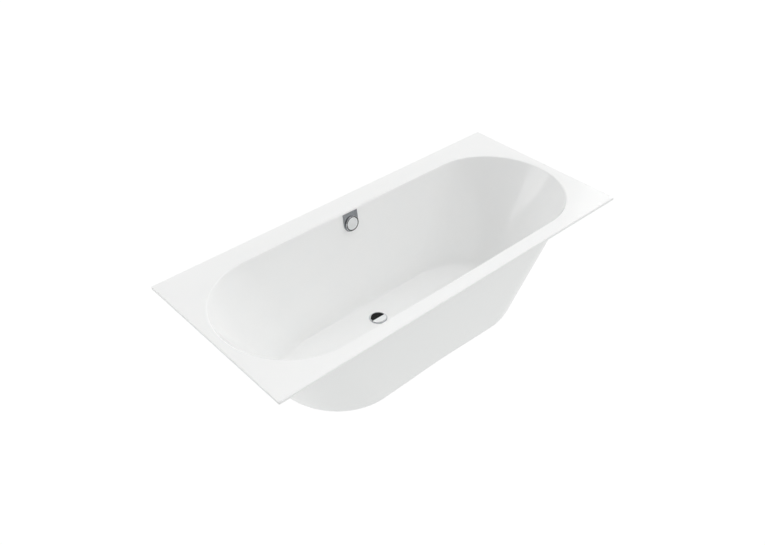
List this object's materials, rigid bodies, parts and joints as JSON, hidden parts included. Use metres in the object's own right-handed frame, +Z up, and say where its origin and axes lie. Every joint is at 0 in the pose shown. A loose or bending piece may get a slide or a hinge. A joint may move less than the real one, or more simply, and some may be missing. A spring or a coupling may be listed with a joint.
{
  "type": "bathtub",
  "caption": "Rectangular built-in double-ended bathtub with a slim flat rim, an oblong sloping basin, a rotary waste and overflow set, a trap and levelling feet.",
  "frame": {"origin": "on the floor under the middle of the rim, at the underside of the foot pads", "axes": "+X along the bath, +Y towards the wall with the overflow, +Z up; the open front is at -Y"},
  "size_m": [1.8, 0.8, 0.581],
  "materials": {
    "white_acrylic": "cast sanitary acrylic, high gloss, reinforced on the back",
    "birch_ply": "plywood sealed with resin",
    "chrome": "polished chrome plate",
    "brass": "turned brass",
    "galvanised_steel": "zinc plated steel",
    "stainless_steel": "stainless steel",
    "black_rubber": "matt moulded rubber",
    "white_polypropylene": "moulded polypropylene",
    "grey_polypropylene": "moulded polypropylene",
    "black_nylon": "moulded nylon"
  },
  "bodies": {
    "bath": {"tub_shell": "white_acrylic", "floor_panel": "birch_ply", "waste_flange": "chrome", "overflow_plate": "chrome", "foot_rail_left": "galvanised_steel", "foot_rail_right": "galvanised_steel", "lock_nut_left_front": "galvanised_steel", "lock_nut_left_back": "galvanised_steel", "lock_nut_right_front": "galvanised_steel", "lock_nut_right_back": "galvanised_steel", "lever_pin": "stainless_steel", "overflow_screw_left": "stainless_steel", "overflow_screw_right": "stainless_steel", "rail_screw_left_1": "stainless_steel", "rail_screw_left_2": "stainless_steel", "rail_screw_left_3": "stainless_steel", "rail_screw_left_4": "stainless_steel", "rail_screw_right_1": "stainless_steel", "rail_screw_right_2": "stainless_steel", "rail_screw_right_3": "stainless_steel", "rail_screw_right_4": "stainless_steel", "waste_washer_upper": "black_rubber", "waste_washer_lower": "black_rubber", "trap_inlet_seal": "black_rubber", "trap_outlet_seal": "black_rubber", "trap_lid_seal": "black_rubber", "overflow_gasket": "black_rubber", "waste_body": "white_polypropylene", "trap_body": "white_polypropylene", "outlet_bend": "white_polypropylene", "overflow_body": "white_polypropylene", "overflow_pipe": "white_polypropylene", "trap_inlet_nut": "grey_polypropylene", "trap_outlet_nut": "grey_polypropylene", "trap_lid": "grey_polypropylene", "overflow_nut_upper": "grey_polypropylene", "overflow_nut_lower": "grey_polypropylene"},
    "knob": {"rotary_knob": "chrome", "knob_grub_screw": "stainless_steel", "knob_spindle": "brass", "cable_spool": "black_nylon"},
    "plug": {"plug_disc": "chrome", "plug_seal": "black_rubber", "plug_stem": "brass"},
    "lever": {"lift_lever": "black_nylon"},
    "foot_left_front": {"foot_stud_left_front": "galvanised_steel", "foot_pad_left_front": "black_nylon"},
    "foot_left_back": {"foot_stud_left_back": "galvanised_steel", "foot_pad_left_back": "black_nylon"},
    "foot_right_front": {"foot_stud_right_front": "galvanised_steel", "foot_pad_right_front": "black_nylon"},
    "foot_right_back": {"foot_stud_right_back": "galvanised_steel", "foot_pad_right_back": "black_nylon"}
  },
  "joints": [
    {"name": "knob_turn", "type": "hinge", "parent": "bath", "child": "knob", "pos_m": [-0.016, 0.28225, 0.524], "axis": [0, 0.9884, -0.1517], "range_deg": [0, 90]},
    {"name": "plug_lift", "type": "slide", "parent": "bath", "child": "plug", "axis": [0, 0, 1], "range_m": [0, 0.008]},
    {"name": "lever_swing", "type": "hinge", "parent": "bath", "child": "lever", "pos_m": [0.002, 0.11, 0.049], "axis": [0, 1, 0], "range_deg": [0, 26.4]},
    {"name": "foot_left_front_height", "type": "slide", "parent": "bath", "child": "foot_left_front", "axis": [0, 0, -1], "range_m": [-0.006, 0.01]},
    {"name": "foot_left_back_height", "type": "slide", "parent": "bath", "child": "foot_left_back", "axis": [0, 0, -1], "range_m": [-0.006, 0.01]},
    {"name": "foot_right_front_height", "type": "slide", "parent": "bath", "child": "foot_right_front", "axis": [0, 0, -1], "range_m": [-0.006, 0.01]},
    {"name": "foot_right_back_height", "type": "slide", "parent": "bath", "child": "foot_right_back", "axis": [0, 0, -1], "range_m": [-0.006, 0.01]}
  ],
  "couplings": [
    {"joint": "plug_lift", "follows": "knob_turn", "m_per_rad": 0.005093},
    {"joint": "lever_swing", "follows": "knob_turn", "ratio": 0.29333}
  ]
}
